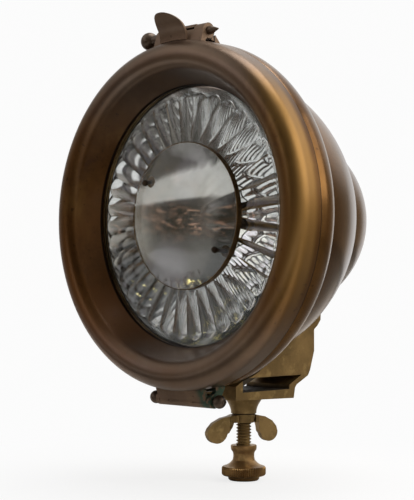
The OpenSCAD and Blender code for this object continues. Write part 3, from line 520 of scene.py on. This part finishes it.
def knobProfile():
    top, h, r, neck, collar, rim = (knob[k] for k in ("top", "h", "r", "neckR", "collarR", "rim"))
    shaft = screw["r"] + 0.02
    return ([(shaft, top), (collar - 0.4, top), (collar, top - 0.4), (collar, top - h * 0.07),
             (collar - 0.2, top - h * 0.13), (neck + 0.3, top - h * 0.2), (neck, top - h * 0.26),
             (neck, top - h * 0.34), (neck + 0.5, top - h * 0.43), (neck + 2.4, top - h * 0.51),
             (r - 4, top - h * 0.565), (r - rim, top - h * 0.6)]
            + arc((r - rim, top - h * 0.6 - rim), rim, 80, 0, 6)
            + arc((r - rim, top - h * 0.87 + rim), rim, 0, -70, 6)
            + [(r - 4.6, top - h * 0.9), (r - 5, top - h + 0.8), (r - 5.8, top - h), (0, top - h)])


bm = bmesh.new()
points = [bm.verts.new(Vector((r, 0, z)) * mm) for r, z in knobProfile()]
edges = [bm.edges.new(pair) for pair in zip(points, points[1:])]
ringSteps = knob["ridges"] * 2
bmesh.ops.spin(bm, geom=points + edges, cent=(0, 0, 0), axis=(0, 0, 1), dvec=(0, 0, 0), angle=2 * pi,
               steps=ringSteps, use_merge=True)
bmesh.ops.remove_doubles(bm, verts=bm.verts, dist=1e-6)
# every other ring of points on the drum is drawn in, which leaves the knurl
for vert in bm.verts:
    r = vert.co.xy.length
    place = round(atan2(vert.co.y, vert.co.x) / (2 * pi) * ringSteps)
    if r > (knob["r"] - 0.8) * mm and place % 2:
        vert.co.xy *= 1 - knob["cut"] * mm / r
settle(bm, 30)
finished(bm, "clamp_knob_knurled", "knobBrass", "clamp_screw", ["clamp_knob"])
print("clamp screw and knob made")


# smoothed copies of the CAD pieces that are small or cast: finish, body, slot
copies = {
    "door_hinge_leaf": ("hingeBrass", "door", "patina_brass"),
    "door_latch_leaf": ("hingeBrass", "door", "patina_brass"),
    "thumb_tab": ("hingeBrass", "door", "patina_brass"),
    "body_hinge_leaf": ("hingeBrass", "lamp_body", "patina_brass"),
    "body_latch_leaf": ("hingeBrass", "lamp_body", "patina_brass"),
    "hinge_pin": ("pinBrass", "lamp_body", "dark_pin"),
    "latch_pin": ("pinBrass", "latch_pin", "dark_pin"),
    "saddle": ("castBrass", "lamp_body", "olive_brass"),
    "socket_bracket": ("slotBrass", "lamp_body", "olive_brass"),
    "lock_washer": ("washerBrass", "lock_washer", "olive_brass"),
    "wing_nut": ("castBrass", "wing_nut", "olive_brass"),
    "cable_ferrule": ("hingeBrass", "lamp_body", "patina_brass"),
    "bulb_glass": ("bulbGlass", "lamp_body", "bulb_glass"),
}
for node, (finish, rides, slotName) in copies.items():
    bm = bmesh.new()
    bm.from_mesh(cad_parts[node].data)
    bmesh.ops.remove_doubles(bm, verts=bm.verts, dist=1e-6)
    softShade(bm, 28)
    finished(bm, node + "_smooth", finish, rides, [node])
print("smaller pieces smoothed:", len(copies))

plainNodes = {
    "glass_seal": "rubber", "glass_retainer": "innerBrass", "lens_screws": "screwBrass", "lens_nuts": "innerBrass",
    "mouth_ring": "innerBrass", "reflector_screws": "innerBrass", "reflector_neck": "innerBrass",
    "bulb_stem": "bulbGlass", "bulb_cap": "innerBrass", "bulb_holder": "innerBrass", "holder_insulator": "vulcanite",
    "holder_contacts": "innerBrass", "holder_screw": "innerBrass", "saddle_rivets": "castBrass",
    "clamp_pad": "washerBrass",
}
for node, finish in plainNodes.items():
    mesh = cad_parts[node].data
    if not mesh.materials:
        mesh.materials.append(finishes[finish])
    for i in range(len(mesh.materials)):
        mesh.materials[i] = finishes[finish]
print("CAD pieces finished:", len(plainNodes))


studio = {"floorZ": -71.66 * mm, "floorR": 1.15, "white": 0.97}
# the pale wall behind the lamp, which metal and glass see as white too
backdrop = {"towards": (-0.7, 0.71, 0.05), "inner": 30, "outer": 41, "colour": (0.95, 0.95, 0.95)}


def shareOf(net, direction, card):
    # 1 inside the card's inner angle, 0 outside its outer angle
    towards = tuple(Vector(card["towards"]).normalized())
    near = net.add("ShaderNodeVectorMath", {"operation": "DOT_PRODUCT"}, {0: direction, 1: towards}, 1)
    return near.ramp(cos(radians(card["outer"])), cos(radians(card["inner"])))


world = bpy.data.worlds.new("studio_world")
bpy.context.scene.world = world
world.use_nodes = True
net = Net(world.node_tree)
direction = net.add("ShaderNodeTexCoord", out="Generated")
patches = net.noise(5.0, 2, where=direction)
wares = net.noise(13.0, 3, where=direction, stretch=(1, 1, 2.2))
up = net.axes(direction)[2]
around = net.mix(patches.ramp(0.5, 0.64), (0.038, 0.036, 0.028), (0.11, 0.078, 0.052))
around = net.mix(wares.ramp(0.56, 0.6) * (1 - (up * up).ramp(0.01, 0.05)), around, (0.6, 0.36, 0.26))
# soft areas of brightness: ceiling, walls, window and three small lamps
cards = [
    {"towards": (0.1, -0.6, 0.8), "inner": 20, "outer": 50, "colour": (0.105, 0.108, 0.112)},
    {"towards": (0.2, 0.98, 0.0), "inner": 25, "outer": 45, "colour": (0.36, 0.29, 0.2)},
    backdrop,
    {"towards": (0.97, 0.1, 0.2), "inner": 28, "outer": 49, "colour": (0.6, 0.57, 0.52)},
    {"towards": (0.25, 0.3, 0.9), "inner": 22, "outer": 46, "colour": (0.65, 0.65, 0.65)},
    {"towards": (0.0, 0.74, 0.67), "inner": 16, "outer": 36, "colour": (1.25, 1.22, 1.18)},
    {"towards": (-0.93, -0.05, 0.3), "inner": 28, "outer": 48, "colour": (0.46, 0.43, 0.39)},
    {"towards": (-0.58, -0.73, 0.37), "inner": 6, "outer": 15, "colour": (1.2, 1.14, 1.22)},
    {"towards": (-0.235, -0.93, 0.27), "inner": 5, "outer": 13, "colour": (1.5, 1.46, 1.38)},
    {"towards": (0.25, -0.69, 0.68), "inner": 0.6, "outer": 1.3, "colour": (6.0, 5.0, 1.8)},
    {"towards": (0.12, -0.72, 0.7), "inner": 0.6, "outer": 1.2, "colour": (6.0, 5.0, 1.8)},
    {"towards": (0.0, -0.76, 0.62), "inner": 0.6, "outer": 1.3, "colour": (6.0, 5.0, 1.8)},
]
for card in cards:
    around = net.mix(shareOf(net, direction, card), around, card["colour"])
seen = net.add("ShaderNodeLightPath", out="Is Camera Ray")
sky = net.add("ShaderNodeBackground", {}, {"Color": around, "Strength": 1.0})
paper = net.add("ShaderNodeBackground", {}, {"Color": (1.0, 1.0, 1.0), "Strength": studio["white"]})
blend = net.add("ShaderNodeMixShader", {}, {0: seen + net.mirrored() * shareOf(net, direction, backdrop),
                                            1: sky, 2: paper})
net.show("ShaderNodeOutputWorld", blend)

bm = bmesh.new()
bmesh.ops.create_circle(bm, cap_ends=True, segments=96, radius=studio["floorR"])
mesh = bpy.data.meshes.new("studio_floor")
bmesh.ops.translate(bm, verts=bm.verts, vec=(0, 0, studio["floorZ"]))
bm.to_mesh(mesh)
bm.free()
floor = bpy.data.objects.new("studio_floor", mesh)
bpy.context.scene.collection.objects.link(floor)
paperFinish = bpy.data.materials.new("studio_paper")
paperFinish.use_nodes = True
net = Net(paperFinish.node_tree)
x, y = net.axes()[:2]
front = 0 - y
away = net.add("ShaderNodeVectorMath", {"operation": "LENGTH"}, {0: net.place()}, 1)
seen = net.add("ShaderNodeLightPath", out="Is Camera Ray")
# the lamp sees a table that darkens to the right and far off, pale just in front of the lamp and dark beyond; the
# darker right side is the lamp's own shadow, painted into the table
tableTones = {"left": (0.85, 0.82, 0.78), "right": (0.28, 0.27, 0.25), "far": (0.13, 0.12, 0.1),
              "beyond": (0.08, 0.075, 0.07), "near": (0.85, 0.82, 0.78)}
beyond = front.ramp(0.12, 0.17)
table = net.mix(x.ramp(-0.25, 0.1), tableTones["left"], tableTones["right"])
table = net.mix(away.ramp(0.5, 1.0), table, tableTones["far"])
table = net.mix(beyond, table, tableTones["beyond"])
table = net.mix(front.ramp(0.0, 0.05) * (1 - beyond), table, tableTones["near"])
card = net.add("ShaderNodeBsdfDiffuse", {}, {"Color": net.mix(seen, table, (0.95, 0.95, 0.95))})
glow = net.add("ShaderNodeEmission", {}, {"Color": (1.0, 1.0, 1.0), "Strength": studio["white"]})
# the camera sees white paper, with the lamp's shadow kept near it. The glass also sees a white band in front
band = front.ramp(0.27, 0.36) * (1 - front.ramp(0.52, 0.75))
mixed = net.add("ShaderNodeMixShader", {}, {0: seen * (0.8 + away.ramp(0.05, 0.32) * 0.2) + net.mirrored() * band,
                                            1: card, 2: glow})
net.show("ShaderNodeOutputMaterial", mixed)
mesh.materials.append(paperFinish)


def softbox(name, at, aim, wide, high, watts, colour=(1, 1, 1)):
    data = bpy.data.lights.new(name, "AREA")
    data.shape = "RECTANGLE"
    data.size, data.size_y = wide, high
    data.energy = watts
    data.color = colour
    light = bpy.data.objects.new(name, data)
    bpy.context.scene.collection.objects.link(light)
    light.location = at
    light.rotation_euler = (Vector(aim) - Vector(at)).to_track_quat("-Z", "Y").to_euler()


middle = (0, 0, 0.12)
softbox("key_softbox", (-0.85, -0.95, 1.45), middle, 1.2, 1.2, 3)
softbox("right_softbox", (1.3, 0.55, 0.95), middle, 1.5, 1.3, 13, (1.0, 0.97, 0.92))
softbox("top_softbox", (0.1, 0.3, 1.7), middle, 1.0, 1.0, 12)

# fitted to the lamp's circles in the photo
view = {"lens": 94.778, "at": (0.66475, -0.71592, 0.06895), "along": (-0.7002, 0.7133, 0.0298)}
camera = bpy.data.cameras.new("photo_camera")
camera.lens = view["lens"]
camera.sensor_width = 36
camera.clip_start = 0.01
eye = bpy.data.objects.new("photo_camera", camera)
bpy.context.scene.collection.objects.link(eye)
eye.location = view["at"]
eye.rotation_euler = Vector(view["along"]).to_track_quat("-Z", "Y").to_euler()
bpy.context.scene.camera = eye
bpy.context.scene.view_settings.view_transform = "Standard"
print("studio set")
